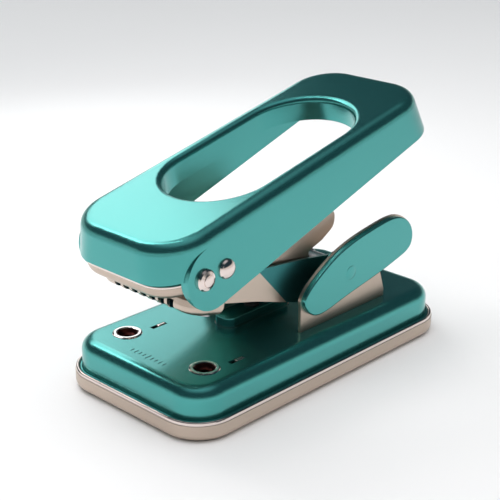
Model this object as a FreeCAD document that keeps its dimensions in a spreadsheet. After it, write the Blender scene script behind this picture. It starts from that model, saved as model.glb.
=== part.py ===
"""Two-hole desk punch: a chip tray, a covered base, a sprung guide arm with the
punch pins, and a looped handle.  The base sits level, centred on the origin, and
stands on z = 0.  The guide arm and the handle are drawn about their common hinge
axis, in the pose where the arm is shut, and are then turned to the open pose."""
import FreeCAD, Part
import math
import os
import re
import Sketcher

# Driving dimensions, in millimetres and degrees.
DIMENSIONS = {
    "hole_spacing": 70,
    "punch_diameter": 7,
    "running_fit": 0.05,
    "part_gap": 0.4,
    # base
    "base_length": 239,
    "base_width": 127.2,
    "corner_round": 26,
    "pad_thickness": 1,
    "tray_top": 11.2,
    "tray_wall": 1.6,
    "tray_foot_round": 4,
    "bead_height": 2.4,
    "bead_inset": 0.3,
    "bead_width": 2,
    "flange_width": 2,
    "flange_height": 1.6,
    "seal_width": 2.2,
    "cover_inset": 4.6,
    "cover_foot": 8.6,
    "cover_top": 32.3,
    "cover_wall": 1.6,
    "cover_edge_round": 8,
    "die_row": 86,
    "die_flange": 19,
    "die_mouth": 13.4,
    "die_body": 15,
    "die_depth": 8.5,
    "die_proud": 0.7,
    "die_plate_thickness": 3,
    "stop_slot_length": 12,
    "stop_slot_width": 3.5,
    "stop_slot_behind": 21,
    "stop_slot_offset": 6,
    # stop block on the cover
    "block_width": 15,
    "block_length": 56,
    "block_middle": -10,
    "block_height": 7,
    "bumper_height": 1.2,
    # hinge bracket
    "hinge_back": 34,
    "hinge_height": 61,
    "pin_radius": 4,
    "ear_spread": 82,
    "ear_thickness": 2,
    "ear_front": 44,
    "ear_rear": 39.5,
    "panel_thickness": 3.6,
    # guide arm and head
    "arm_open": 15.4,
    "arm_width": 64,
    "sheet": 2,
    "arm_drop": 23.2,
    "arm_rise": 8.5,
    "nose_gap": 3.2,
    "nose_half_width": 43,
    "nose_front": 15,
    "nose_back": 12,
    "nose_height": 8.5,
    "nose_slot_width": 5.4,
    "nose_slot_pitch": 7.8,
    "head_half_width": 46.2,
    "head_front": 143,
    "head_back": 96,
    "head_rim": 65.2,
    "head_depth": 10,
    "head_round": 25,
    "head_foot_round": 5,
    "head_notch": 11,
    "rim_bead": 2.2,
    "bush_radius": 5.6,
    "lug_half_width": 20,
    # handle
    "handle_slope": 12.8,
    "handle_width": 96.6,
    "handle_front": 141,
    "handle_rear": 96,
    "handle_top": 89.4,
    "end_draft": 12,
    "foot_round": 16,
    "handle_wall": 1.5,
    "handle_edge_round": 7.6,
    "front_round": 31,
    "rear_round": 30,
    "front_wall_foot": 67,
    "rear_wall_foot": 64.8,
    "cheek_radius": 19.5,
    "cheek_rise": 61,
    "cheek_set_back": 6.3,
    "grip_front": 89,
    "grip_rear": 55,
    "grip_half_width": 36.6,
    "lip_depth": 16,
    "lip_round": 3.8,
    "frame_half_width": 28,
    "frame_top": 72.5,
    "bar_radius": 4,
    "push_bar_rise": 5.3,
    "stop_bar_reach": 135.9,
    "stop_bar_rise": -1,
    "press_travel": 7,
    "rivet_radius": 6.6,
    "rivet_dome": 3.2,
    "yoke_radius": 6.4,
    "yoke_rise": 12.4,
    "yoke_foot": -3,
    "spring_wire": 0.9,
}

document = FreeCAD.newDocument("HolePunch")
sheet = document.addObject("Spreadsheet::Sheet", "Dimensions")
for row, (alias, size) in enumerate(DIMENSIONS.items(), start=1):
    sheet.set(f"A{row}", alias)
    sheet.set(f"B{row}", str(size))
    sheet.setAlias(f"B{row}", alias)
document.recompute()

# Places that several parts share, as formulas on the driving dimensions.
HALF_SPACING = "(hole_spacing / 2)"
PUNCH_RADIUS = "(punch_diameter / 2)"
REACH = "(die_row + hinge_back)"
TURN = "((arm_open + handle_slope) * 1 deg)"
STOP_Y = f"(stop_bar_rise * sin{TURN} - stop_bar_reach * cos{TURN})"
STOP_Z = f"(stop_bar_reach * sin{TURN} + stop_bar_rise * cos{TURN})"
PUSH_Y = f"(push_bar_rise * sin{TURN} - {REACH} * cos{TURN})"
PUSH_Z = f"({REACH} * sin{TURN} + push_bar_rise * cos{TURN})"
CHEEK_Y = f"({STOP_Y} + cheek_set_back)"
NOSE_FOOT = "(cover_top + nose_gap - hinge_height)"
NOSE_TOP = f"({NOSE_FOOT} + nose_height)"
COVER_UNDERSIDE = "(cover_top - cover_wall)"
EAR_INNER = "(ear_spread / 2)"
EAR_OUTER = "(ear_spread / 2 + ear_thickness)"
ARM_OUTER = "(arm_width / 2)"

LEVEL, OPEN, SLOPED = "level", "open", "sloped"
ON_HINGE = "placement(vector(0; hinge_back; hinge_height); rotation(vector(1; 0; 0); {}))"
POSES = {OPEN: ON_HINGE.format("-arm_open"), SLOPED: ON_HINGE.format("handle_slope")}
nodes = []


def qualified(formula):
    """The formula with each alias named as a cell of the sheet."""
    swap = lambda word: "Dimensions." + word[0] if word[0] in DIMENSIONS else word[0]
    return re.sub(r"[a-z_]+", swap, formula)


def number(formula):
    """What a formula on the sheet comes to."""
    return float(sheet.evalExpression(qualified(str(formula))))


def drive(thing, setting, formula):
    """Binds a property to a formula on the sheet."""
    thing.setExpression(setting, qualified(str(formula)))


def keep(thing, pose=LEVEL):
    """Lists a finished sub-part and turns it to its pose."""
    if pose in POSES:
        drive(thing, "Placement", POSES[pose])
    nodes.append(thing)
    return thing


def new_body(name):
    """An empty body; its label names the node."""
    body = document.addObject("PartDesign::Body", name)
    body.Label = name
    return body


def new_sketch(body, role, level="0"):
    """A sketch on one of the body's own origin planes, lifted along its normal."""
    plane = next(item for item in body.Origin.OriginFeatures if item.Role == role)
    sketch = body.newObject("Sketcher::SketchObject", body.Name + "Sketch")
    sketch.AttachmentSupport = [(plane, "")]
    sketch.MapMode = "FlatFace"
    drive(sketch, "AttachmentOffset.Base.z", level)
    return sketch


def tie(sketch, geometry, end, across, up):
    """Places one point of a sketch by two driven distances from its origin."""
    for kind, formula in (("DistanceX", across), ("DistanceY", up)):
        rule = sketch.addConstraint(Sketcher.Constraint(kind, -1, 1, geometry, end, number(formula)))
        drive(sketch, f"Constraints[{rule}]", formula)


def size_radius(sketch, geometry, formula):
    """Drives the radius of a circle or an arc."""
    rule = sketch.addConstraint(Sketcher.Constraint("Radius", geometry, number(formula)))
    drive(sketch, f"Constraints[{rule}]", formula)


def circle(sketch, across, up, radius):
    """A circle with a driven centre and radius."""
    middle = FreeCAD.Vector(number(across), number(up), 0)
    ring = Part.Circle(middle, FreeCAD.Vector(0, 0, 1), number(radius))
    geometry = sketch.addGeometry(ring, False)
    tie(sketch, geometry, 3, across, up)
    size_radius(sketch, geometry, radius)


def polygon(sketch, corners):
    """A closed outline of straight sides with every corner driven."""
    spots = [FreeCAD.Vector(number(across), number(up), 0) for across, up in corners]
    sides = []
    for start, end in zip(spots, spots[1:] + spots[:1]):
        sides.append(sketch.addGeometry(Part.LineSegment(start, end), False))
    for side, following in zip(sides, sides[1:] + sides[:1]):
        sketch.addConstraint(Sketcher.Constraint("Coincident", side, 2, following, 1))
    for side, (across, up) in zip(sides, corners):
        tie(sketch, side, 1, across, up)


def rectangle(sketch, left, right, low, high):
    """A plain driven rectangle."""
    polygon(sketch, [(left, low), (right, low), (right, high), (left, high)])


def rounded_outline(sketch, half_width, low, high, low_round, high_round=None):
    """A rectangle about the upright axis, with tangent arcs at its corners."""
    high_round = high_round or low_round
    wide, bottom, top = number(half_width), number(low), number(high)
    corners = [(wide, bottom, low_round, -90), (wide, top, high_round, 0),
               (-wide, top, high_round, 90), (-wide, bottom, low_round, 180)]
    arcs = []
    for across, up, rounding, start in corners:
        radius = number(rounding)
        middle = FreeCAD.Vector(across - math.copysign(radius, across),
                                up + radius if up == bottom else up - radius, 0)
        ring = Part.Circle(middle, FreeCAD.Vector(0, 0, 1), radius)
        arc = Part.ArcOfCircle(ring, math.radians(start), math.radians(start + 90))
        arcs.append(sketch.addGeometry(arc, False))
        size_radius(sketch, arcs[-1], rounding)
    for arc, following in zip(arcs, arcs[1:] + arcs[:1]):
        start = sketch.getPoint(arc, 2)
        end = sketch.getPoint(following, 1)
        side = sketch.addGeometry(Part.LineSegment(start, end), False)
        sketch.addConstraint(Sketcher.Constraint("Tangent", arc, 2, side, 1))
        sketch.addConstraint(Sketcher.Constraint("Tangent", side, 2, following, 1))
    for arc, across, up in ((0, None, low), (0, half_width, None), (2, None, high)):
        kind, formula = ("DistanceX", across) if across else ("DistanceY", up)
        end = 2 if across else 1
        rule = sketch.addConstraint(Sketcher.Constraint(kind, -1, 1, arcs[arc], end, number(formula)))
        drive(sketch, f"Constraints[{rule}]", formula)
    left = sketch.addConstraint(Sketcher.Constraint("DistanceX", -1, 1, arcs[2], 2, -wide))
    drive(sketch, f"Constraints[{left}]", f"-({half_width})")
    sketch.addConstraint(Sketcher.Constraint("Vertical", arcs[0], 2, arcs[1], 1))
    sketch.addConstraint(Sketcher.Constraint("Horizontal", arcs[1], 2, arcs[2], 1))


def stadium(sketch, half_width, low, high):
    """A long slot along the upright axis: two half circles and two straights."""
    radius = number(half_width)
    arcs = []
    for up, start in ((f"({low}) + {half_width}", 180), (f"({high}) - {half_width}", 0)):
        ring = Part.Circle(FreeCAD.Vector(0, number(up), 0), FreeCAD.Vector(0, 0, 1), radius)
        arc = Part.ArcOfCircle(ring, math.radians(start), math.radians(start + 180))
        arcs.append(sketch.addGeometry(arc, False))
        tie(sketch, arcs[-1], 3, "0", up)
        size_radius(sketch, arcs[-1], half_width)
    for arc, following in (arcs, arcs[::-1]):
        start = sketch.getPoint(arc, 2)
        end = sketch.getPoint(following, 1)
        side = sketch.addGeometry(Part.LineSegment(start, end), False)
        sketch.addConstraint(Sketcher.Constraint("Tangent", arc, 2, side, 1))
        sketch.addConstraint(Sketcher.Constraint("Tangent", side, 2, following, 1))


def extrude(body, sketch, length, symmetric=False, cut=False, reverse=False):
    """Pads or pockets a sketch; a cut that removes nothing is an error."""
    before = body.Tip.Shape.Volume if cut else 0
    kind = "PartDesign::Pocket" if cut else "PartDesign::Pad"
    feature = body.newObject(kind, body.Name + ("Pocket" if cut else "Pad"))
    feature.Profile = sketch
    feature.SideType = "Symmetric" if symmetric else "One side"
    feature.Reversed = reverse
    drive(feature, "Length", length)
    body.Tip = feature
    document.recompute()
    if cut and feature.Shape.Volume > before - 0.01:
        raise ValueError(f"a cut in {body.Label} removes nothing")
    return feature


def soften(body, radius, chosen):
    """Rounds the edges that a test picks out of the body so far."""
    base = body.Tip
    names = [f"Edge{index}" for index, edge in enumerate(base.Shape.Edges, start=1) if chosen(edge)]
    if not names:
        raise ValueError(f"no edge to round in {body.Label}")
    fillet = body.newObject("PartDesign::Fillet", body.Name + "Fillet")
    fillet.Base = (base, names)
    drive(fillet, "Radius", radius)
    body.Tip = fillet
    document.recompute()
    if fillet.Shape.isNull() or not fillet.Shape.isValid():
        raise ValueError(f"rounding {names} by {radius} fails in {body.Label}: {fillet.getStatusString()}")


def turned(name, role, outline, axis="V_Axis"):
    """A solid of revolution about the upright or the level axis of its sketch."""
    body = new_body(name)
    sketch = new_sketch(body, role)
    polygon(sketch, outline)
    solid = body.newObject("PartDesign::Revolution", name + "Turned")
    solid.Profile = sketch
    solid.ReferenceAxis = (sketch, [axis])
    solid.Angle = 360
    body.Tip = solid
    document.recompute()
    return body


def cut_from(name, base, tool):
    """One solid less another, as a boolean of the document."""
    cut = document.addObject("Part::Cut", name)
    cut.Label = name
    cut.Base = base
    cut.Tool = tool
    document.recompute()
    return cut


def at_level(formula, slack=0.05):
    """A test for edges that lie flat at one height."""
    height = number(formula)
    return lambda edge: all(abs(vertex.Z - height) < slack for vertex in edge.Vertexes)


def side_corner(along, up, slack=0.05):
    """A test for edges that run straight across at one place in the side view."""
    spot = (number(along), number(up))

    def test(edge):
        ends = edge.Vertexes
        return len(ends) == 2 and all(
            abs(end.Y - spot[0]) < slack and abs(end.Z - spot[1]) < slack for end in ends)
    return test


def plate_pair(body, outline, outer, thickness):
    """Two equal upright plates, one each side of the middle plane."""
    for level, backwards in ((outer, True), (f"-({outer})", False)):
        sketch = new_sketch(body, "YZ_Plane", level)
        polygon(sketch, outline)
        extrude(body, sketch, thickness, reverse=backwards)


def cross_bore(body, along, up, radius):
    """A round hole straight across the whole body."""
    sketch = new_sketch(body, "YZ_Plane")
    circle(sketch, along, up, radius)
    extrude(body, sketch, "base_width", symmetric=True, cut=True)


# ---------------------------------------------------------------- chip tray
def chip_tray():
    """The pressed tray that catches the chips, open at its top."""
    body = new_body("chip_tray")
    outer = new_sketch(body, "XY_Plane", "pad_thickness")
    rounded_outline(outer, "base_width / 2", "-base_length / 2", "base_length / 2", "corner_round")
    extrude(body, outer, "tray_top - pad_thickness")
    soften(body, "tray_foot_round", at_level("pad_thickness"))
    inner = new_sketch(body, "XY_Plane", "pad_thickness + tray_wall")
    rounded_outline(inner, "base_width / 2 - tray_wall", "tray_wall - base_length / 2",
                    "base_length / 2 - tray_wall", "corner_round - tray_wall")
    extrude(body, inner, "tray_top", cut=True, reverse=True)
    keep(body)


def ring(name, outer, inner, low, tall, rounding):
    """A closed band that follows the outline of the base, rounded on top."""
    body = new_body(name)
    sketch = new_sketch(body, "XY_Plane", low)
    for inset in (outer, inner):
        rounded_outline(sketch, f"base_width / 2 - ({inset})", f"({inset}) - base_length / 2",
                        f"base_length / 2 - ({inset})", f"corner_round - ({inset})")
    extrude(body, sketch, tall)
    if rounding:
        soften(body, rounding, at_level(f"({low}) + ({tall})"))
    keep(body)


def non_slip_pad():
    """The rubber mat bonded under the tray; the punch stands on it."""
    body = new_body("non_slip_pad")
    inset = "(tray_foot_round + 1)"
    sketch = new_sketch(body, "XY_Plane")
    rounded_outline(sketch, f"base_width / 2 - {inset}", f"{inset} - base_length / 2",
                    f"base_length / 2 - {inset}", f"corner_round - {inset}")
    extrude(body, sketch, "pad_thickness")
    keep(body)


# ---------------------------------------------------------------- base
def base_cover():
    """The drawn steel cover, with its die holes, sight slots and ear slots."""
    body = new_body("base_cover")
    outer = new_sketch(body, "XY_Plane", "cover_foot")
    rounded_outline(outer, "base_width / 2 - cover_inset", "cover_inset - base_length / 2",
                    "base_length / 2 - cover_inset", "corner_round - cover_inset")
    extrude(body, outer, "cover_top - cover_foot")
    inset = "(cover_inset + cover_wall)"
    inner = new_sketch(body, "XY_Plane", COVER_UNDERSIDE)
    rounded_outline(inner, f"base_width / 2 - {inset}", f"{inset} - base_length / 2",
                    f"base_length / 2 - {inset}", f"corner_round - {inset}")
    extrude(body, inner, "cover_top", cut=True)
    soften(body, "cover_edge_round - cover_wall", at_level(COVER_UNDERSIDE))
    soften(body, "cover_edge_round", at_level("cover_top"))
    holes = new_sketch(body, "XY_Plane", "cover_top + 1")
    for side in ("-", ""):
        circle(holes, side + HALF_SPACING, "-die_row", "die_body / 2")
        middle = f"({side}{HALF_SPACING} + stop_slot_offset)"
        rectangle(holes, f"{middle} - stop_slot_width / 2", f"{middle} + stop_slot_width / 2",
                  "stop_slot_behind - die_row - stop_slot_length / 2",
                  "stop_slot_behind - die_row + stop_slot_length / 2")
        edges = sorted(((f"{side}({EAR_INNER} - part_gap)"), (f"{side}({EAR_OUTER} + part_gap)")), key=number)
        rectangle(holes, *edges, "hinge_back - ear_front - part_gap", "hinge_back + ear_rear + part_gap")
    extrude(body, holes, "cover_wall * 3", cut=True)
    keep(body)


def die_plate():
    """The thick plate under the cover that carries the two dies."""
    body = new_body("die_plate")
    sketch = new_sketch(body, "XY_Plane", f"{COVER_UNDERSIDE} - die_plate_thickness")
    rectangle(sketch, f"-({HALF_SPACING} + 14)", f"{HALF_SPACING} + 14", "-die_row - 15", "15 - die_row")
    for side in ("-", ""):
        circle(sketch, side + HALF_SPACING, "-die_row", "die_body / 2")
    extrude(body, sketch, "die_plate_thickness")
    keep(body)


def die(name, side):
    """A hardened eyelet with a flared mouth over a straight cutting bore."""
    bore = f"({PUNCH_RADIUS} + running_fit * 2)"
    body = turned(name, "XZ_Plane", [
        (bore, "cover_top - die_depth"), ("die_body / 2", "cover_top - die_depth"),
        ("die_body / 2", "cover_top"), ("die_flange / 2", "cover_top"),
        ("die_flange / 2 - 0.3", "cover_top + die_proud * 0.6"),
        ("die_flange / 2 - 1", "cover_top + die_proud"), ("die_mouth / 2 + 0.5", "cover_top + die_proud"),
        ("die_mouth / 2", "cover_top + die_proud * 0.6"), (f"{bore} + 1.4", "cover_top - 2"),
        (bore, "cover_top - 3")])
    drive(body, "Placement", f"placement(vector({side}{HALF_SPACING}; -die_row; 0); rotation(0; 0; 0))")
    keep(body)


def paper_stops():
    """Two polished tabs that stand up through the sight slots."""
    body = new_body("paper_stops")
    for side in ("-", ""):
        middle = f"({side}{HALF_SPACING} + stop_slot_offset)"
        sketch = new_sketch(body, "XY_Plane", f"{COVER_UNDERSIDE} - die_plate_thickness")
        rectangle(sketch, f"{middle} - stop_slot_width / 2 + 0.5", f"{middle} + stop_slot_width / 2 - 0.5",
                  "stop_slot_behind - die_row - 1", "stop_slot_behind - die_row + stop_slot_length / 2 - 0.5")
        extrude(body, sketch, "die_plate_thickness + cover_wall + 0.4")
    soften(body, "0.9", at_level("cover_top + 0.4"))
    foot = new_sketch(body, "XY_Plane", f"{COVER_UNDERSIDE} - die_plate_thickness - 1")
    rectangle(foot, f"-{HALF_SPACING}", f"{HALF_SPACING} + stop_slot_offset + 3",
              "stop_slot_behind - die_row - 3", "stop_slot_behind - die_row + stop_slot_length / 2")
    extrude(body, foot, "1")
    keep(body)


# The ear's outline, as places behind and above the hinge axis.
EAR_OUTLINE = [(-42.5, -12), (-35, -19), (-12, -17.5), (24, -10.4), (52, -4), (63.5, 2), (64.5, 12),
               (54, 23.5), (28, 25), (-8, 17.5), (-32, 5)]


def ear_slab(level, thickness, grow):
    """A flat slab with the ear's smooth outline, scaled about the hinge axis."""
    spots = [FreeCAD.Vector(level, number("hinge_back") + grow * along, number("hinge_height") + grow * up)
             for along, up in EAR_OUTLINE]
    curve = Part.BSplineCurve()
    curve.interpolate(Points=spots, PeriodicFlag=True)
    face = Part.Face(Part.Wire(curve.toShape()))
    return face.extrude(FreeCAD.Vector(thickness, 0, 0))


def solid_feature(name, shape, pose=LEVEL):
    """A sub-part whose shape is set directly."""
    feature = document.addObject("Part::Feature", name)
    feature.Label = name
    feature.Shape = shape
    return keep(feature, pose)


def rear_bracket():
    """The folded bracket: a strap under the cover and two ears through its slots."""
    low = number(f"{COVER_UNDERSIDE} - ear_thickness")
    front, rear = number("hinge_back - ear_front"), number("hinge_back + ear_rear")
    thick, outer = number("ear_thickness"), number(EAR_OUTER)
    back, height = number("hinge_back"), number("hinge_height")
    shape = Part.makeBox(2 * outer, rear - front, thick, FreeCAD.Vector(-outer, front, low))
    foot = [(front, low), (rear, low), (rear, low + 8), (rear - 5, height - 9), (back, height - 8),
            (front, height - 10), (front, low)]
    for level in (-outer, outer - thick):
        corners = Part.makePolygon([FreeCAD.Vector(level, along, up) for along, up in foot])
        leg = Part.Face(corners).extrude(FreeCAD.Vector(thick, 0, 0))
        shape = shape.fuse([leg, ear_slab(level, thick, 1.02)])
    radius = number("pin_radius + running_fit")
    bore = Part.makeCylinder(radius, 4 * outer, FreeCAD.Vector(-2 * outer, back, height), FreeCAD.Vector(1, 0, 0))
    solid_feature("rear_bracket", shape.cut(bore).removeSplitter())


def ear_panel(name, side):
    """The rounded cover plate fixed outside one ear, hiding the pin's end."""
    thickness = number("panel_thickness")
    outer = number(EAR_OUTER)
    slab = ear_slab(outer if side > 0 else -outer - thickness, thickness, 1)
    rim = [edge for edge in slab.Edges if edge.BoundBox.XLength < 0.01
           and abs(edge.BoundBox.XMin - side * (outer + thickness)) < 0.01]
    solid_feature(name, slab.makeFillet(1.1, rim))


def across_rod(name, half_length, radius, pose=LEVEL, bore=None):
    """A rod or a sleeve on the hinge axis."""
    body = new_body(name)
    sketch = new_sketch(body, "YZ_Plane")
    middle = ("hinge_back", "hinge_height") if pose == LEVEL else ("0", "0")
    circle(sketch, *middle, radius)
    if bore:
        circle(sketch, *middle, bore)
    extrude(body, sketch, f"2 * ({half_length})", symmetric=True)
    keep(body, pose)


def hinge_sleeve(name, side):
    """The drum that fills the space between an ear and the guide arm."""
    body = new_body(name)
    inner, outer = f"({ARM_OUTER} + part_gap)", EAR_INNER
    sketch = new_sketch(body, "YZ_Plane", inner if side > 0 else f"-{outer}")
    circle(sketch, "hinge_back", "hinge_height", "11.5")
    circle(sketch, "hinge_back", "hinge_height", "pin_radius + running_fit")
    extrude(body, sketch, f"{outer} - {inner}")
    keep(body)


def stop_block():
    """The raised block on the cover that the arm comes down to."""
    body = new_body("stop_block")
    sketch = new_sketch(body, "XY_Plane", "cover_top + 0.6")
    rounded_outline(sketch, "block_width / 2", "block_middle - block_length / 2",
                    "block_middle + block_length / 2", "5", "2")
    extrude(body, sketch, "block_height - 0.6")
    soften(body, "1.6", at_level("cover_top + block_height"))
    keep(body)
    trim = new_body("block_trim")
    sketch = new_sketch(trim, "XY_Plane", "cover_top")
    rounded_outline(sketch, "block_width / 2 + 0.8", "block_middle - block_length / 2 - 0.8",
                    "block_middle + block_length / 2 + 0.8", "5.8", "2.8")
    extrude(trim, sketch, "0.6")
    keep(trim)
    bumper = new_body("arm_bumper")
    sketch = new_sketch(bumper, "XY_Plane", "cover_top + block_height")
    circle(sketch, "0", "block_middle", "5")
    extrude(bumper, sketch, "bumper_height")
    keep(bumper)


def base_rivets():
    """Rivets that hold the die plate and the bracket strap up to the cover."""
    body = new_body("base_rivets")
    sketch = new_sketch(body, "XY_Plane", f"{COVER_UNDERSIDE} - die_plate_thickness")
    for side in ("-", ""):
        for behind in (-11, 11):
            circle(sketch, f"{side}10", f"{behind} - die_row", "2.5")
    extrude(body, sketch, "1.4", reverse=True)
    strap = new_sketch(body, "XY_Plane", f"{COVER_UNDERSIDE} - ear_thickness")
    for side in ("-", ""):
        for behind in (-24, 24):
            circle(strap, f"{side}30", f"hinge_back + {behind}", "2.5")
    extrude(body, strap, "1.4", reverse=True)
    keep(body)


# ---------------------------------------------------------------- guide arm
def guide_arm():
    """The channel that joins the hinge to the punch head, web downwards."""
    body = new_body("guide_arm")
    front = f"(nose_back - {REACH})"
    plate_pair(body, [
        (front, f"{NOSE_FOOT} + 4.4"), ("-69.2", "2.3 - arm_drop"), ("-27.1", "-arm_drop"), ("4.9", "2.9 - arm_drop"),
        ("13.2", "-5.5"), ("12.7", "6.5"), ("7.6", "arm_rise + 1.3"), ("-30.3", "arm_rise - 2.8"),
        ("-70", "arm_rise - 8.9"), (front, "arm_rise - 14.9")], ARM_OUTER, "sheet")
    for along, up, rounding in (("12.7", "6.5", 6), ("7.6", "arm_rise + 1.3", 5), ("13.2", "-5.5", 10),
                                ("4.9", "2.9 - arm_drop", 14), ("-27.1", "-arm_drop", 60)):
        soften(body, rounding, side_corner(along, up))
    web = new_sketch(body, "YZ_Plane")
    polygon(web, [(front, f"{NOSE_FOOT} + 6.4"), ("-69.3", "4.3 - arm_drop"), ("-27.2", "2.4 - arm_drop"),
                  ("-15.2", "3.3 - arm_drop"), ("-15.3", "5.1 - arm_drop"), ("-27.2", "4.2 - arm_drop"),
                  ("-69.3", "6.1 - arm_drop"), (front, f"{NOSE_FOOT} + 8.2")])
    extrude(body, web, "arm_width - 2 * sheet", symmetric=True)
    cross_bore(body, "0", "0", "pin_radius + running_fit")
    keep(body, OPEN)


def nose_block():
    """The punch guide: a slotted, round-nosed block under the head."""
    body = new_body("nose_block")
    sketch = new_sketch(body, "XY_Plane", NOSE_FOOT)
    front = f"(-{REACH} - nose_front)"
    rounded_outline(sketch, "nose_half_width", front, f"nose_back - {REACH}", "13", "3")
    extrude(body, sketch, "nose_height")
    soften(body, "5", at_level(NOSE_FOOT))
    slots = new_sketch(body, "XZ_Plane", f"-{front} - 5.5")
    for index in range(-3, 4):
        middle = f"({index} * nose_slot_pitch)"
        rectangle(slots, f"{middle} - nose_slot_width / 2", f"{middle} + nose_slot_width / 2",
                  f"{NOSE_FOOT} - 1", f"{NOSE_FOOT} + 6.5")
    extrude(body, slots, "20", cut=True, reverse=True)
    bores = new_sketch(body, "XY_Plane", NOSE_TOP)
    for side in ("-", ""):
        circle(bores, side + HALF_SPACING, f"-{REACH}", "bush_radius")
    extrude(body, bores, "nose_height + 1", cut=True)
    keep(body, OPEN)


def stop_lugs():
    """Two slotted lugs in the head that limit how far the handle swings."""
    body = new_body("stop_lugs")
    low, high = NOSE_TOP, "(stop_bar_rise + bar_radius + 3)"
    plate_pair(body, [("-stop_bar_reach - 1.4", low), ("7 - stop_bar_reach", low), ("7 - stop_bar_reach", high),
                      ("-stop_bar_reach - 6.5", high), ("-stop_bar_reach - 6.5", "stop_bar_rise - 13")],
               "lug_half_width", "sheet")
    shoe = new_sketch(body, "XY_Plane", NOSE_TOP)
    rectangle(shoe, "-lug_half_width", "lug_half_width", "7 - stop_bar_reach", "16 - stop_bar_reach")
    extrude(body, shoe, "1.6")
    sketch = new_sketch(body, "YZ_Plane")
    slack = "(bar_radius + running_fit)"
    rectangle(sketch, f"-stop_bar_reach - {slack} - 0.2", f"0.5 + {slack} - stop_bar_reach",
              f"stop_bar_rise - press_travel - {slack}", f"stop_bar_rise + {slack}")
    extrude(body, sketch, "base_width", symmetric=True, cut=True)
    keep(body, OPEN)


def guide_bush(name, side):
    """A steel bush pressed into the nose, in which a punch pin slides."""
    body = new_body(name)
    for low, tall, radius in ((NOSE_FOOT, "nose_height", "bush_radius"), (NOSE_TOP, "1.5", "bush_radius + 0.6")):
        sketch = new_sketch(body, "XY_Plane", low)
        circle(sketch, side + HALF_SPACING, f"-{REACH}", radius)
        circle(sketch, side + HALF_SPACING, f"-{REACH}", f"{PUNCH_RADIUS} + running_fit")
        extrude(body, sketch, tall)
    keep(body, OPEN)


def punch(name, side):
    """A punch pin with its yoke, slotted for the push bar."""
    body = new_body(name)
    pin = new_sketch(body, "XY_Plane", f"{NOSE_FOOT} + 0.5")
    circle(pin, side + HALF_SPACING, f"-{REACH}", PUNCH_RADIUS)
    extrude(body, pin, f"yoke_foot - {NOSE_FOOT}")
    yoke = new_sketch(body, "XY_Plane", "yoke_foot")
    circle(yoke, side + HALF_SPACING, f"-{REACH}", "yoke_radius")
    extrude(body, yoke, "yoke_rise - yoke_foot")
    slot = new_sketch(body, "YZ_Plane")
    slack = "(bar_radius + running_fit * 1.4)"
    rectangle(slot, f"-{REACH} - {slack} - 0.3", f"0.2 + {slack} - {REACH}",
              f"push_bar_rise - {slack}", f"push_bar_rise + {slack}")
    extrude(body, slot, "base_width", symmetric=True, cut=True)
    keep(body, OPEN)


def coil(name, middle, radius, low, high, turns, pose, across=False):
    """A round-wire coil between two levels, swept along one long edge or turn by turn."""
    wire = number("spring_wire") / 2
    bottom, top, mean = number(low) + wire, number(high) - wire, number(radius)
    spiral = Part.makeHelix if across else Part.makeLongHelix
    helix = spiral((top - bottom) / turns, top - bottom, mean)
    section = Part.Wire(Part.makeCircle(wire, FreeCAD.Vector(mean, 0, 0), FreeCAD.Vector(0, 1, 0)))
    solid = Part.Wire(helix).makePipeShell([section], True, True)
    solid.translate(FreeCAD.Vector(0, 0, bottom))
    if across:
        solid.rotate(FreeCAD.Vector(0, 0, 0), FreeCAD.Vector(0, 1, 0), 90)
    solid.translate(FreeCAD.Vector(*(number(part) for part in middle)))
    place = solid.Placement.toMatrix()
    solid.Placement = FreeCAD.Placement()
    solid.transformShape(place, True)
    solid_feature(name, solid, pose)


def head_pan():
    """The drawn pan that closes the head from below, cut out for nose and bars."""
    outside = new_body("head_outside")
    low = "(head_rim - head_depth)"
    outer = new_sketch(outside, "XY_Plane", low)
    rounded_outline(outer, "head_half_width", "-head_front", "-head_back", "head_round", "12")
    extrude(outside, outer, "head_depth - rim_bead")
    soften(outside, "head_foot_round", at_level(low))
    notch = new_sketch(outside, "YZ_Plane")
    rectangle(notch, "head_notch - head_front", "-head_back + 1", f"{low} - 1", "head_rim + 1")
    extrude(outside, notch, "base_width", symmetric=True, cut=True)
    inside = new_body("head_inside")
    inner = new_sketch(inside, "XY_Plane", f"{low} + handle_wall")
    rounded_outline(inner, "head_half_width - handle_wall", "handle_wall - head_front", "-head_back - handle_wall",
                    "head_round - handle_wall", "12")
    extrude(inside, inner, "head_depth")
    soften(inside, "head_foot_round - handle_wall", at_level(f"{low} + handle_wall"))
    for body in (outside, inside):
        drive(body, "Placement", POSES[SLOPED])
    well = new_body("head_well")
    room = new_sketch(well, "XY_Plane", f"{NOSE_FOOT} - 5")
    rectangle(room, "-handle_width / 2", "handle_width / 2", f"-{REACH} - nose_front - 0.2", f"40 - {REACH}")
    extrude(well, room, "60")
    drive(well, "Placement", POSES[OPEN])
    shell = cut_from("head_shell", outside, inside)
    keep(cut_from("head_pan", shell, well))


def head_bead():
    """The polished roll along the rim of the head pan."""
    body = new_body("head_bead")
    sketch = new_sketch(body, "XY_Plane", "head_rim")
    rounded_outline(sketch, "head_half_width + 0.7", "-head_front - 0.7", "-head_back", "head_round + 0.7", "2")
    rounded_outline(sketch, "head_half_width - handle_wall", "handle_wall - head_front", "-head_back - 3",
                    "head_round - handle_wall", "2")
    extrude(body, sketch, "rim_bead", reverse=True)
    soften(body, "1", lambda edge: edge.BoundBox.YMin < number("-head_front") and edge.BoundBox.ZLength < 0.01
           and edge.BoundBox.YMin < number("-head_front - 0.6"))
    trim = new_sketch(body, "YZ_Plane")
    rectangle(trim, "head_notch - head_front", "0", "head_rim - 10", "head_rim + 5")
    extrude(body, trim, "base_width", symmetric=True, cut=True)
    keep(body, SLOPED)


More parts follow.
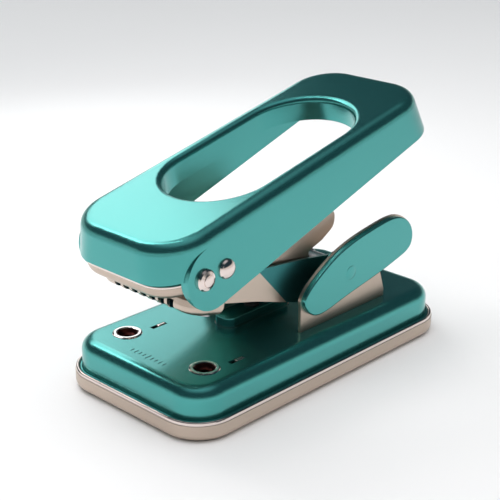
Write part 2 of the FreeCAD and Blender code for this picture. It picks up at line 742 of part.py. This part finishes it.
# ---------------------------------------------------------------- handle
def in_grip(edge):
    """Whether an edge belongs to the grip opening and not to the outer outline."""
    box = edge.BoundBox
    return box.YMin > number("-grip_front - 4") and box.YMax < number("grip_rear + 4")


def drafted(body, roof, inset):
    """A block with level sides whose ends lean out towards its foot."""
    sections = []
    spread = "(handle_top * tan(end_draft * 1 deg))"
    for level, lean, rounds in (("0", spread, ("foot_round", "foot_round")), (roof, "0", ("front_round", "rear_round"))):
        sketch = new_sketch(body, "XY_Plane", level)
        front_round, rear_round = (f"{rounding} - {inset}" for rounding in rounds)
        rounded_outline(sketch, f"handle_width / 2 - {inset}", f"{inset} - handle_front - {lean}",
                        f"handle_rear + {lean} - {inset}", front_round, rear_round)
        sections.append(sketch)
    loft = body.newObject("PartDesign::AdditiveLoft", body.Name + "Loft")
    loft.Profile = sections[0]
    loft.Sections = [(sections[1], [""])]
    loft.Ruled = True
    body.Tip = loft
    document.recompute()


def side_mask(body):
    """Cuts away what lies below the handle's side line."""
    sketch = new_sketch(body, "YZ_Plane")
    front, rear = "(-handle_front - base_width / 4)", "(handle_rear + base_width / 4)"
    polygon(sketch, [(front, "-5"), (rear, "-5"), (rear, "rear_wall_foot"),
                     (f"{CHEEK_Y} + 2", "cheek_rise - cheek_radius"), (f"{CHEEK_Y} - 2", "cheek_rise - cheek_radius"),
                     (f"{CHEEK_Y} - 2", "front_wall_foot"), (front, "front_wall_foot")])
    extrude(body, sketch, "base_width", symmetric=True, cut=True)


def handle_shell():
    """The looped steel handle: a deep shell with a rolled grip and flat round cheeks."""
    outside = new_body("handle_outside")
    half = "(handle_width / 2)"
    drafted(outside, "handle_top", "0")
    grip = new_sketch(outside, "XY_Plane", "handle_top + 1")
    stadium(grip, "grip_half_width", "-grip_front", "grip_rear")
    extrude(outside, grip, "handle_top + 2", cut=True)
    on_top = at_level("handle_top")
    soften(outside, "handle_edge_round", lambda edge: on_top(edge) and not in_grip(edge))
    soften(outside, "lip_round", lambda edge: on_top(edge) and in_grip(edge))
    side_mask(outside)
    cheek = new_sketch(outside, "YZ_Plane")
    circle(cheek, CHEEK_Y, "cheek_rise", "cheek_radius")
    extrude(outside, cheek, "handle_width", symmetric=True)
    for along, up in ((STOP_Y, STOP_Z), (PUSH_Y, PUSH_Z)):
        cross_bore(outside, along, up, "bar_radius + running_fit")
    hollow = new_body("handle_hollow")
    roof = "(handle_top - handle_wall)"
    drafted(hollow, roof, "handle_wall")
    island = new_sketch(hollow, "XY_Plane", f"{roof} + 1")
    stadium(island, "(grip_half_width + handle_wall)", "-grip_front - handle_wall", "grip_rear + handle_wall")
    extrude(hollow, island, "lip_depth - handle_wall + 1", cut=True)
    on_roof = at_level(roof)
    soften(hollow, "handle_edge_round - handle_wall", lambda edge: on_roof(edge) and not in_grip(edge))
    soften(hollow, "lip_round - handle_wall", lambda edge: on_roof(edge) and in_grip(edge))
    for body in (outside, hollow):
        drive(body, "Placement", POSES[SLOPED])
    keep(cut_from("handle_shell", outside, hollow))


def handle_frame():
    """The inner frame: two plates from the bars to the hinge, with a stiffening tongue."""
    body = new_body("handle_frame")
    top = "frame_top"
    plate_pair(body, [
        (f"{STOP_Y} - 7", top), (f"{STOP_Y} - 7", f"{STOP_Z} - 7"), (f"{PUSH_Y}", f"{PUSH_Z} - 7"), ("-70", "36"),
        ("-34", "4"), ("-6", "-9"), ("7", "-7"), ("9", "4"), ("-3", "9"), ("-26", "19"), ("-3", "21"), ("10", "25"),
        ("13", "37"), ("-38", "40"), ("-64", "58"), ("-82", "63.5"), ("-89", top)], "frame_half_width", "sheet")
    for along, up, rounding in (("10", "25", 8), ("13", "37", 5), ("-26", "19", 3), ("-6", "-9", 7), ("7", "-7", 7),
                                ("9", "4", 5), ("-34", "4", 20), (f"{STOP_Y} - 7", f"{STOP_Z} - 7", 6)):
        soften(body, rounding, side_corner(along, up))
    bridge = new_sketch(body, "YZ_Plane")
    rectangle(bridge, f"{PUSH_Y} + 8", f"{PUSH_Y} + 9.8", f"{PUSH_Z} - 3", top)
    extrude(body, bridge, "2 * (frame_half_width - sheet)", symmetric=True)
    cross_bore(body, "0", "0", "pin_radius + running_fit")
    cross_bore(body, STOP_Y, STOP_Z, "bar_radius + running_fit")
    cross_bore(body, PUSH_Y, PUSH_Z, "bar_radius + running_fit")
    keep(body, SLOPED)


def riveted_bar(name, along, up, head, step):
    """A cross bar with a domed rivet head outside each cheek."""
    half = "(handle_width / 2)"
    outline = [("0", "0"), ("bar_radius", "0"), ("bar_radius", half), (head, half)]
    if step:
        outline += [(head, f"{half} + rivet_dome * 0.45"), (f"{head} - 0.9", f"{half} + rivet_dome * 0.8"),
                    (f"{head} - 2.4", f"{half} + rivet_dome"), (f"{head} - 2.6", f"{half} + rivet_dome * 0.8"),
                    (f"{head} - 4.6", f"{half} + rivet_dome * 1.02"), ("0", f"{half} + rivet_dome * 1.12")]
    else:
        outline += [(head, f"{half} + rivet_dome * 0.3"), (f"{head} - 0.7", f"{half} + rivet_dome * 0.65"),
                    (f"{head} - 2.2", f"{half} + rivet_dome * 0.92"), (f"{head} - 4.4", f"{half} + rivet_dome * 1.08"),
                    ("0", f"{half} + rivet_dome * 1.15")]
    body = turned(name, "XY_Plane", outline)
    mirror = body.newObject("PartDesign::Mirrored", name + "Mirrored")
    mirror.Originals = [body.Tip]
    plane = next(item for item in body.Origin.OriginFeatures if item.Role == "XZ_Plane")
    mirror.MirrorPlane = (plane, [""])
    body.Tip = mirror
    document.recompute()
    drive(body, "Placement", "placement(vector(0; hinge_back; hinge_height); rotation(vector(1; 0; 0); handle_slope))"
          f" * placement(vector(0; {along}; {up}); rotation(vector(0; 0; 1); -90))")
    nodes.append(body)


chip_tray()
non_slip_pad()
ring("rim_bead", "bead_inset", "bead_inset + bead_width", "tray_top", "bead_height", "0.9")
ring("cover_flange", "cover_inset - flange_width", "cover_inset", "tray_top + 0.3", "flange_height", "0.8")
ring("cover_seal", "tray_wall + 0.1", "tray_wall + seal_width", "tray_top - 3", "3", None)
base_cover()
die_plate()
die("left_die", "-")
die("right_die", "")
paper_stops()
rear_bracket()
ear_panel("left_ear_panel", -1)
ear_panel("right_ear_panel", 1)
across_rod("hinge_pin", EAR_OUTER, "pin_radius")
hinge_sleeve("left_hinge_sleeve", -1)
hinge_sleeve("right_hinge_sleeve", 1)
stop_block()
base_rivets()
guide_arm()
nose_block()
stop_lugs()
head_pan()
head_bead()
for hand, side in (("left", "-"), ("right", "")):
    guide_bush(f"{hand}_guide_bush", side)
    punch(f"{hand}_punch", side)
    coil(f"{hand}_punch_spring", (side + HALF_SPACING, f"-{REACH}", "0"), f"{PUNCH_RADIUS} + 1.3",
         f"{NOSE_TOP} + 1.6", "yoke_foot", 5, OPEN)
across_rod("spring_sleeve", "frame_half_width - sheet - part_gap", "pin_radius + 2", OPEN,
           "pin_radius + running_fit")
coil("arm_spring", ("0", "0", "0"), "pin_radius + 2.8", "-11", "11", 14.5, OPEN, across=True)
handle_shell()
handle_frame()
riveted_bar("stop_bar", STOP_Y, STOP_Z, "rivet_radius", True)
riveted_bar("push_bar", PUSH_Y, PUSH_Z, "(rivet_radius - 0.5)", False)

document.recompute()
for thing in document.Objects:
    if "Invalid" in thing.State or "Error" in thing.State:
        raise ValueError(f"{thing.Label} failed: {thing.State}")
os.makedirs("parts", exist_ok=True)
for node in nodes:
    if node.Shape.isNull() or not node.Shape.isValid() or not node.Shape.Solids:
        raise ValueError(f"{node.Label} has no sound shape")
    node.Shape.exportStep(f"parts/{node.Label}.step")
    print(node.Label, len(node.Shape.Solids), round(node.Shape.Volume))
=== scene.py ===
import math
import bmesh
import bpy
from mathutils import Matrix, Vector


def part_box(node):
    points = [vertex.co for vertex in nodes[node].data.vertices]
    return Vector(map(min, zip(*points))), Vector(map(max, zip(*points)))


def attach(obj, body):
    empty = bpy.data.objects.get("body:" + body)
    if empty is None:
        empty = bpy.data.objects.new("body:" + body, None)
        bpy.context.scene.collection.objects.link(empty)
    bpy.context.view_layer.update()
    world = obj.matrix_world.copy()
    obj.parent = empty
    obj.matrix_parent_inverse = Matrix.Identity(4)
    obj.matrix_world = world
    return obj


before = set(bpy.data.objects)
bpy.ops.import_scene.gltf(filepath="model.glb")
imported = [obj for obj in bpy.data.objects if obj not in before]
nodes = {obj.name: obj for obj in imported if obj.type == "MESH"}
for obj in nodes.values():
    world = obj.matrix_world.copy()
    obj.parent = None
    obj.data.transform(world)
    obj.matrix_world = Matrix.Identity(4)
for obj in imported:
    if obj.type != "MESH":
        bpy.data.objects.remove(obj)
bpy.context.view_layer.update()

bpy.ops.object.select_all(action="DESELECT")


class Value:
    """One socket of a shader, with arithmetic that adds its Math nodes."""

    def __init__(self, tree, socket):
        self.tree = tree
        self.socket = socket

    def math(self, operation, *others, swapped=False):
        node = self.tree.nodes.new("ShaderNodeMath")
        node.operation = operation
        values = [self, *others]
        if swapped:
            values.reverse()
        for slot, value in zip(node.inputs, values):
            if isinstance(value, Value):
                self.tree.links.new(value.socket, slot)
            else:
                slot.default_value = value
        return Value(self.tree, node.outputs[0])

    def __add__(self, other):
        return self.math("ADD", other)

    def __sub__(self, other):
        return self.math("SUBTRACT", other)

    def __mul__(self, other):
        return self.math("MULTIPLY", other)

    def __radd__(self, other):
        return self.math("ADD", other, swapped=True)

    def __rsub__(self, other):
        return self.math("SUBTRACT", other, swapped=True)

    def __rmul__(self, other):
        return self.math("MULTIPLY", other, swapped=True)

    def step(self, edge, soft):
        """0 below the edge and 1 above it, over a soft width in metres."""
        eased = (self - (edge - soft / 2)) * (1 / soft)
        eased.socket.node.use_clamp = True
        return eased


class Finish:
    """A material with one Principled shader, and short calls that add its nodes."""

    def __init__(self, name, **constants):
        self.material = bpy.data.materials.new(name)
        self.material.use_nodes = True
        self.tree = self.material.node_tree
        self.shader = self.tree.nodes["Principled BSDF"]
        for socket, value in constants.items():
            self.shader.inputs[socket.replace("_", " ")].default_value = value
        self.place = self.node("ShaderNodeTexCoord", output="Object")

    def node(self, kind, settings=None, output=0, **values):
        """Adds a node, sets its options, then gives or links its sockets."""
        made = self.tree.nodes.new(kind)
        for option, value in (settings or {}).items():
            setattr(made, option, value)
        for socket, value in values.items():
            slot = made.inputs[socket.replace("_", " ")]
            if isinstance(value, Value):
                self.tree.links.new(value.socket, slot)
            else:
                slot.default_value = value
        return Value(self.tree, made.outputs[output])

    def noise(self, scale, detail=2.0):
        """Noise at so many features a metre."""
        return self.node("ShaderNodeTexNoise", Vector=self.place, Scale=scale, Detail=detail)

    def along(self, axis, centre=(0, 0, 0)):
        """One coordinate of the surface in metres, from a centre."""
        moved = self.node("ShaderNodeVectorMath", {"operation": "SUBTRACT"})
        self.tree.links.new(self.place.socket, moved.socket.node.inputs[0])
        moved.socket.node.inputs[1].default_value = centre
        return self.node("ShaderNodeSeparateXYZ", output=axis, Vector=moved)

    def blend(self, factor, first, second):
        """Mixes two colours, each a plain colour or a linked one."""
        made = self.tree.nodes.new("ShaderNodeMix")
        made.data_type = "RGBA"
        for slot, value in ((0, factor), (6, first), (7, second)):
            if isinstance(value, Value):
                self.tree.links.new(value.socket, made.inputs[slot])
            else:
                made.inputs[slot].default_value = value if slot == 0 else (*value, 1)
        return Value(self.tree, made.outputs[2])

    def feed(self, socket, value):
        """Links a varying value to the shader."""
        self.tree.links.new(value.socket, self.shader.inputs[socket])

    def bump(self, height, distance):
        """Raises the surface by a height pattern, so many metres at its full strength."""
        raised = self.node("ShaderNodeBump", Height=height, Distance=distance, Strength=1.0)
        self.feed("Normal", raised)


def wear(node, finish):
    """Gives a CAD node a finish in place of its packed one."""
    mesh = nodes[node].data
    mesh.materials.clear()
    mesh.materials.append(finish.material)


# --------------------------------------------------------------- satin teal
# The cover, the handle and the ear panels are pressed steel, polished and then
# coated with a transparent teal lacquer, so they shine like tinted metal.
TEAL = (0.085, 0.40, 0.375)
TEAL_DEEP = (0.07, 0.36, 0.345)
TEAL_ROUGHNESS = 0.22
TEAL_GRAIN = 0.06


def teal_lacquer(name):
    finish = Finish(name, Metallic=0.92, Coat_Weight=0.25, Coat_Roughness=0.12,
                    Specular_IOR_Level=0.5)
    cloud = finish.noise(16, detail=2)
    finish.feed("Base Color", finish.blend(cloud, TEAL, TEAL_DEEP))
    grain = finish.noise(900, detail=3)
    finish.feed("Roughness", TEAL_ROUGHNESS + TEAL_GRAIN * grain)
    finish.bump(finish.noise(2600, detail=2), distance=0.000012)
    return finish


teal = teal_lacquer("satin_teal")
for node in ("base_cover", "cover_flange", "stop_block", "handle_shell", "left_ear_panel",
             "right_ear_panel", "left_hinge_sleeve", "right_hinge_sleeve"):
    wear(node, teal)

# --------------------------------------------------------------- champagne nickel
# The tray, the bracket, the arm and the head are bead-blasted steel plated with a
# warm satin nickel.
NICKEL = (0.60, 0.50, 0.42)
NICKEL_WARM = (0.52, 0.42, 0.35)
BLAST_GRAIN = 0.08


def satin_nickel(name, roughness=0.29):
    finish = Finish(name, Metallic=0.95, Specular_IOR_Level=0.5)
    finish.feed("Base Color", finish.blend(finish.noise(20), NICKEL, NICKEL_WARM))
    grain = finish.noise(1400, detail=4)
    finish.feed("Roughness", roughness + BLAST_GRAIN * grain)
    finish.bump(grain, distance=0.00002)
    return finish


nickel = satin_nickel("satin_nickel")
for node in ("chip_tray", "rear_bracket", "head_pan", "handle_frame"):
    wear(node, nickel)

# The arm is nickel in front, and from its bend back to the hinge it is coloured
# dark teal as painted shade, for the dark reflection on its rear.
# The line between the two leans forward as it goes up.
HINGE = (0, 0.034, 0.061)
ARM_SHADE_LINE = -0.055
ARM_SHADE_LEAN = 0.9
ARM_SHADE_EDGE = 0.0006
ARM_SHADE_TEAL = (0.045, 0.22, 0.225)
arm_finish = satin_nickel("arm_nickel_and_painted_shade")
arm_back = arm_finish.along("Y", centre=HINGE)
arm_height = arm_finish.along("Z", centre=HINGE)
# Painted shade: behind this leaning line the arm gets a dark teal colour that stands for a dark
# reflection.
arm_shade_mask = (arm_back + ARM_SHADE_LEAN * arm_height).step(ARM_SHADE_LINE, ARM_SHADE_EDGE)
arm_finish.feed("Base Color", arm_finish.blend(arm_shade_mask, NICKEL, ARM_SHADE_TEAL))
wear("guide_arm", arm_finish)

# The guide block's ribs are left bright, and inside its slots a near-black teal
# is painted as shade. The slots lie in a band behind the block's front face, across its middle.
SLOT_FRONT, SLOT_BACK, SLOT_HALF_SPAN = 0.0024, 0.0095, 0.0263
SLOT_EDGE = 0.0004
SLOT_PAINTED_SHADE = (0.01, 0.075, 0.085)
nose_finish = satin_nickel("slotted_nickel_painted_shade", roughness=0.22)
nose_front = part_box("nose_block")[0][1]
slot_depth = nose_finish.along("Y", centre=(0, nose_front, 0))
slot_side = nose_finish.along("X").math("ABSOLUTE")
behind_front = slot_depth.step(SLOT_FRONT, SLOT_EDGE)
before_back = 1 - slot_depth.step(SLOT_BACK, SLOT_EDGE)
near_middle = 1 - slot_side.step(SLOT_HALF_SPAN, SLOT_EDGE)
# Painted shade: inside this band the block is coloured near black teal, for the shade in its
# slots.
slot_shade_mask = behind_front * before_back * near_middle
nose_finish.feed("Base Color", nose_finish.blend(slot_shade_mask, NICKEL, SLOT_PAINTED_SHADE))
wear("nose_block", nose_finish)

# --------------------------------------------------------------- polished metal
# The rim rolls, the paper stops, the block's trim and the cross bars are steel,
# plated with nickel and buffed until they mirror.
POLISHED = (0.88, 0.77, 0.73)
POLISHED_WARM = (0.80, 0.68, 0.64)
bright = Finish("polished_nickel", Metallic=1.0)
bright.feed("Base Color", bright.blend(bright.noise(60), POLISHED, POLISHED_WARM))
bright.feed("Roughness", 0.08 + 0.06 * bright.noise(1200, detail=3))
for node in ("rim_bead", "paper_stops", "block_trim", "head_bead", "stop_bar", "push_bar"):
    wear(node, bright)

# --------------------------------------------------------------- dies
# Each die is a hardened steel eyelet pressed into the cover. Its flange is
# polished, and its bore is left dark and rough from the hardening.
BORE_RADIUS = 0.0066
BORE_EDGE = 0.0003
BORE_DARK = (0.10, 0.03, 0.025)
FLANGE_BRIGHT = (0.86, 0.80, 0.77)
for node in ("left_die", "right_die"):
    eyelet = Finish(node + "_bright_rim_dark_bore", Metallic=1.0)
    low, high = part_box(node)
    middle = ((low[0] + high[0]) / 2, (low[1] + high[1]) / 2, 0)
    sideways = eyelet.along("X", centre=middle)
    back = eyelet.along("Y", centre=middle)
    radius = (sideways * sideways + back * back).math("SQRT")
    rim = radius.step(BORE_RADIUS, BORE_EDGE)
    eyelet.feed("Base Color", eyelet.blend(rim, BORE_DARK, FLANGE_BRIGHT))
    eyelet.feed("Roughness", 0.32 - 0.22 * rim + 0.05 * eyelet.noise(1200, detail=3))
    wear(node, eyelet)

# --------------------------------------------------------------- ground steel
# The working parts inside, the hinge pin and the springs are bare steel, turned or
# ground, and oiled.
STEEL = (0.55, 0.55, 0.56)
STEEL_DARK = (0.42, 0.42, 0.44)
ground = Finish("ground_steel", Metallic=1.0)
ground.feed("Base Color", ground.blend(ground.noise(200), STEEL, STEEL_DARK))
ground.feed("Roughness", 0.22 + 0.14 * ground.noise(2000, detail=3))
for node in ("die_plate", "hinge_pin", "base_rivets", "stop_lugs", "left_guide_bush",
             "right_guide_bush", "left_punch", "right_punch", "spring_sleeve", "arm_spring",
             "left_punch_spring", "right_punch_spring"):
    wear(node, ground)

# --------------------------------------------------------------- rubber
# The pad under the tray, the seal round the cover and the arm's bumper are moulded
# black rubber.
RUBBER = (0.012, 0.012, 0.014)
RUBBER_WORN = (0.022, 0.022, 0.024)
rubber = Finish("black_rubber", Specular_IOR_Level=0.3)
rubber.feed("Base Color", rubber.blend(rubber.noise(300), RUBBER, RUBBER_WORN))
rubber.feed("Roughness", 0.6 + 0.2 * rubber.noise(2500, detail=3))
rubber.bump(rubber.noise(3000), distance=0.00003)
for node in ("non_slip_pad", "arm_bumper", "cover_seal"):
    wear(node, rubber)

# --------------------------------------------------------------- rivet caps
# The two cross bars are closed on both cheeks by domed caps, turned and buffed
# until they mirror. The caps of the front bar have a stepped round button.
CAP_SKIN = 0.0001
CAP_HEIGHT_SKIN = 0.0004
BUTTON_SHARE = 0.56


def half_dome(name, radius, height, rings):
    """A closed dome on the origin that points up, left in edit mode."""
    bpy.ops.mesh.primitive_uv_sphere_add(segments=64, ring_count=rings, radius=1)
    dome = bpy.context.object
    dome.name = name
    bpy.ops.object.mode_set(mode="EDIT")
    bpy.ops.mesh.select_all(action="SELECT")
    bpy.ops.mesh.bisect(plane_co=(0, 0, 0), plane_no=(0, 0, 1), use_fill=True, clear_inner=True)
    bpy.ops.mesh.select_all(action="SELECT")
    bpy.ops.transform.resize(value=(radius, radius, height), center_override=(0, 0, 0))
    return dome


def settle(smooth):
    """Applies the place to the mesh and smooths all but its sharp edges."""
    bpy.ops.object.transform_apply(location=True, rotation=True, scale=True)
    bpy.ops.object.shade_smooth_by_angle(angle=math.radians(smooth))
    bpy.ops.object.select_all(action="DESELECT")


def face_sideways(dome, side, place, smooth):
    """Turns a dome to the left or right, applies its place and smooths it."""
    bpy.ops.object.mode_set(mode="OBJECT")
    dome.rotation_euler = (0, side * math.pi / 2, 0)
    dome.location = place
    settle(smooth)


def select_button(cap, radius, height):
    """Selects the faces in the middle of a cap."""
    bpy.ops.mesh.select_all(action="DESELECT")
    mesh = bmesh.from_edit_mesh(cap.data)
    mesh.select_mode = {"FACE"}
    for face in mesh.faces:
        middle = face.calc_center_median()
        face.select_set(math.hypot(middle.x, middle.y) < radius and middle.z > height)
    mesh.select_flush_mode()
    bmesh.update_edit_mesh(cap.data)


def rivet_cap(name, bar, side, stepped):
    """A domed cap on one end of a cross bar, just outside the bar's own head."""
    low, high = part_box(bar)
    radius = (high[1] - low[1]) / 2
    end = high[0] if side > 0 else low[0]
    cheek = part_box("handle_shell")[1][0] * side
    height = abs(end - cheek) + CAP_HEIGHT_SKIN
    cap = half_dome(name, radius + CAP_SKIN, height, rings=32)
    if stepped:
        select_button(cap, BUTTON_SHARE * radius, height / 2)
        bpy.ops.mesh.inset(thickness=0.00025, depth=-0.0003, use_boundary=True)
        bpy.ops.mesh.inset(thickness=0.0003, depth=0.0004, use_boundary=True)
    place = (cheek, (low[1] + high[1]) / 2, (low[2] + high[2]) / 2)
    face_sideways(cap, side, place, smooth=40)
    cap.data.materials.append(bright.material)
    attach(cap, "handle")


for side, word in ((-1, "left"), (1, "right")):
    rivet_cap(word + "_front_rivet_cap", "stop_bar", side, stepped=True)
    rivet_cap(word + "_rear_rivet_cap", "push_bar", side, stepped=False)

# --------------------------------------------------------------- centring marks
# Short ticks between the dies show the middle of the sheet: thin dark strips that
# stand a hair above the lacquer, a long one in the middle and shorter ones beside.
TICK_WIDTH = 0.0005
TICK_THICKNESS = 0.0002
TICK_LIFT = 0.00003
TICK_BEVEL = 0.00005
ROW_SET_BACK = 0.004
TICKS = ((0, 0.0052), (-0.0036, 0.003), (0.0036, 0.003), (-0.0072, 0.003), (0.0072, 0.003),
         (-0.0108, 0.0038), (0.0108, 0.0038), (-0.0144, 0.003), (0.0144, 0.003))
MARK_DARK = (0.02, 0.10, 0.10)
MARK_LIGHT = (0.03, 0.14, 0.13)
mark_finish = Finish("dark_marks", Metallic=0.6)
mark_finish.feed("Base Color", mark_finish.blend(mark_finish.noise(900), MARK_DARK, MARK_LIGHT))
mark_finish.feed("Roughness", 0.4 + 0.2 * mark_finish.noise(2000))
cover_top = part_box("base_cover")[1][2]
mark_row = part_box("right_die")[0][1] - ROW_SET_BACK
bpy.ops.object.select_all(action="DESELECT")
ticks = []
for offset, length in TICKS:
    bpy.ops.mesh.primitive_cube_add(size=1, location=(offset, mark_row, cover_top + TICK_LIFT))
    tick = bpy.context.object
    tick.scale = (TICK_WIDTH, length, TICK_THICKNESS)
    bpy.ops.object.transform_apply(location=True, rotation=True, scale=True)
    bpy.ops.object.mode_set(mode="EDIT")
    bpy.ops.mesh.select_all(action="SELECT")
    bpy.ops.mesh.bevel(offset=TICK_BEVEL, segments=1)
    bpy.ops.object.mode_set(mode="OBJECT")
    tick.select_set(False)
    ticks.append(tick)
for tick in ticks:
    tick.select_set(True)
bpy.context.view_layer.objects.active = ticks[0]
bpy.ops.object.join()
marks = bpy.context.object
marks.name = "centring_marks"
settle(smooth=40)
marks.data.materials.append(mark_finish.material)
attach(marks, "base")

# --------------------------------------------------------------- hinge bosses
# Each ear panel is pressed out into a low round boss over the end of the hinge
# pin, and lacquered with the panel.
BOSS_RADIUS = 0.0048
BOSS_HEIGHT = 0.0006
BOSS_SINK = 0.0001
for side, word in ((-1, "left"), (1, "right")):
    low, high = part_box(word + "_ear_panel")
    face = high[0] if side > 0 else low[0]
    boss = half_dome(word + "_hinge_boss", BOSS_RADIUS, BOSS_HEIGHT, rings=24)
    face_sideways(boss, side, (face - side * BOSS_SINK, HINGE[1], HINGE[2]), smooth=80)
    boss.data.materials.append(teal.material)
    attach(boss, "base")

# --------------------------------------------------------------- studio
# A white floor under a large soft overhead light that mirrors nowhere, and a dim
# room with a pale horizon, so that rounded metal edges go dark. Softboxes on the
# left light the handle's front and the cover's left half, and leave the rear dark.
FLOOR = (0.93, 0.93, 0.93)
FLOOR_SHADE = (0.90, 0.90, 0.90)
FLOOR_DROP = 0.0002
floor_finish = Finish("studio_floor", Specular_IOR_Level=0.1, Roughness=0.8)
floor_finish.feed("Base Color", floor_finish.blend(floor_finish.noise(2), FLOOR, FLOOR_SHADE))
bpy.ops.mesh.primitive_circle_add(vertices=96, radius=9, fill_type="NGON",
                                  location=(0, 0, -FLOOR_DROP))
floor = bpy.context.object
floor.name = "studio_floor"
bpy.ops.object.transform_apply(location=True, rotation=False, scale=False)
floor.data.materials.append(floor_finish.material)

HORIZON = (0.80, 0.78, 0.74)
ROOM = (0.022, 0.04, 0.052)
CEILING = (0.55, 0.56, 0.58)
SKY = ((0.0, HORIZON), (0.10, HORIZON), (0.26, ROOM), (0.80, ROOM), (0.97, CEILING))
room = bpy.data.worlds.new("studio")
bpy.context.scene.world = room
room.use_nodes = True
links = room.node_tree.links
direction = room.node_tree.nodes.new("ShaderNodeTexCoord").outputs["Generated"]
height = room.node_tree.nodes.new("ShaderNodeSeparateXYZ")
links.new(direction, height.inputs[0])
sky = room.node_tree.nodes.new("ShaderNodeValToRGB")
while len(sky.color_ramp.elements) < len(SKY):
    sky.color_ramp.elements.new(0.5)
for stop, (place, colour) in zip(sky.color_ramp.elements, SKY):
    stop.position = place
    stop.color = (*colour, 1)
links.new(height.outputs["Z"], sky.inputs[0])
links.new(sky.outputs[0], room.node_tree.nodes["Background"].inputs["Color"])
bpy.context.scene.view_settings.view_transform = "Standard"
AIM_HEIGHT = 0.08


def softbox(name, azimuth, elevation, distance, size, radiance, colour, mirrored=True):
    """A rectangular light that faces the object from a bearing and a height, in degrees."""
    lamp = bpy.data.lights.new(name, "AREA")
    lamp.shape = "RECTANGLE"
    lamp.size, lamp.size_y = size
    lamp.energy = radiance * math.pi * size[0] * size[1]
    lamp.color = colour
    holder = bpy.data.objects.new(name, lamp)
    bpy.context.scene.collection.objects.link(holder)
    around, up = math.radians(azimuth), math.radians(elevation)
    outward = Vector((math.cos(around) * math.cos(up), math.sin(around) * math.cos(up),
                      math.sin(up)))
    holder.location = outward * distance + Vector((0, 0, AIM_HEIGHT))
    holder.rotation_euler = outward.to_track_quat("Z", "Y").to_euler()
    holder.visible_glossy = mirrored


softbox("left_softbox", 176, 43, 0.62, (0.46, 0.34), 2.3, (1.0, 0.99, 0.98))
softbox("rim_strip", 196, 58, 0.7, (0.06, 0.5), 6.0, (1.0, 0.93, 0.93))
softbox("low_left_softbox", 148, 20, 0.7, (0.24, 0.22), 1.5, (0.95, 1.0, 1.0))
softbox("overhead_fill", 300, 80, 2.4, (5.0, 5.0), 1.35, (1, 1, 1), mirrored=False)
softbox("warm_fill", 20, 35, 1.6, (0.7, 0.5), 1.4, (1.0, 0.78, 0.70), mirrored=False)

# --------------------------------------------------------------- camera
# A long lens from the front right, a little above the handle.
AZIMUTH, ELEVATION = math.radians(44.12), math.radians(21.46)
CAMERA_PLACE = (0.504, -0.531, 0.3613)
LENS = 87.73
back = Vector((math.sin(AZIMUTH) * math.cos(ELEVATION), -math.cos(AZIMUTH) * math.cos(ELEVATION),
               math.sin(ELEVATION)))
across = Vector((math.cos(AZIMUTH), math.sin(AZIMUTH), 0))
upward = back.cross(across)
camera = bpy.data.objects.new("camera", bpy.data.cameras.new("camera"))
bpy.context.scene.collection.objects.link(camera)
turn = Matrix((across, upward, back)).transposed().to_4x4()
camera.matrix_world = Matrix.Translation(CAMERA_PLACE) @ turn
camera.data.lens = LENS
bpy.context.scene.camera = camera
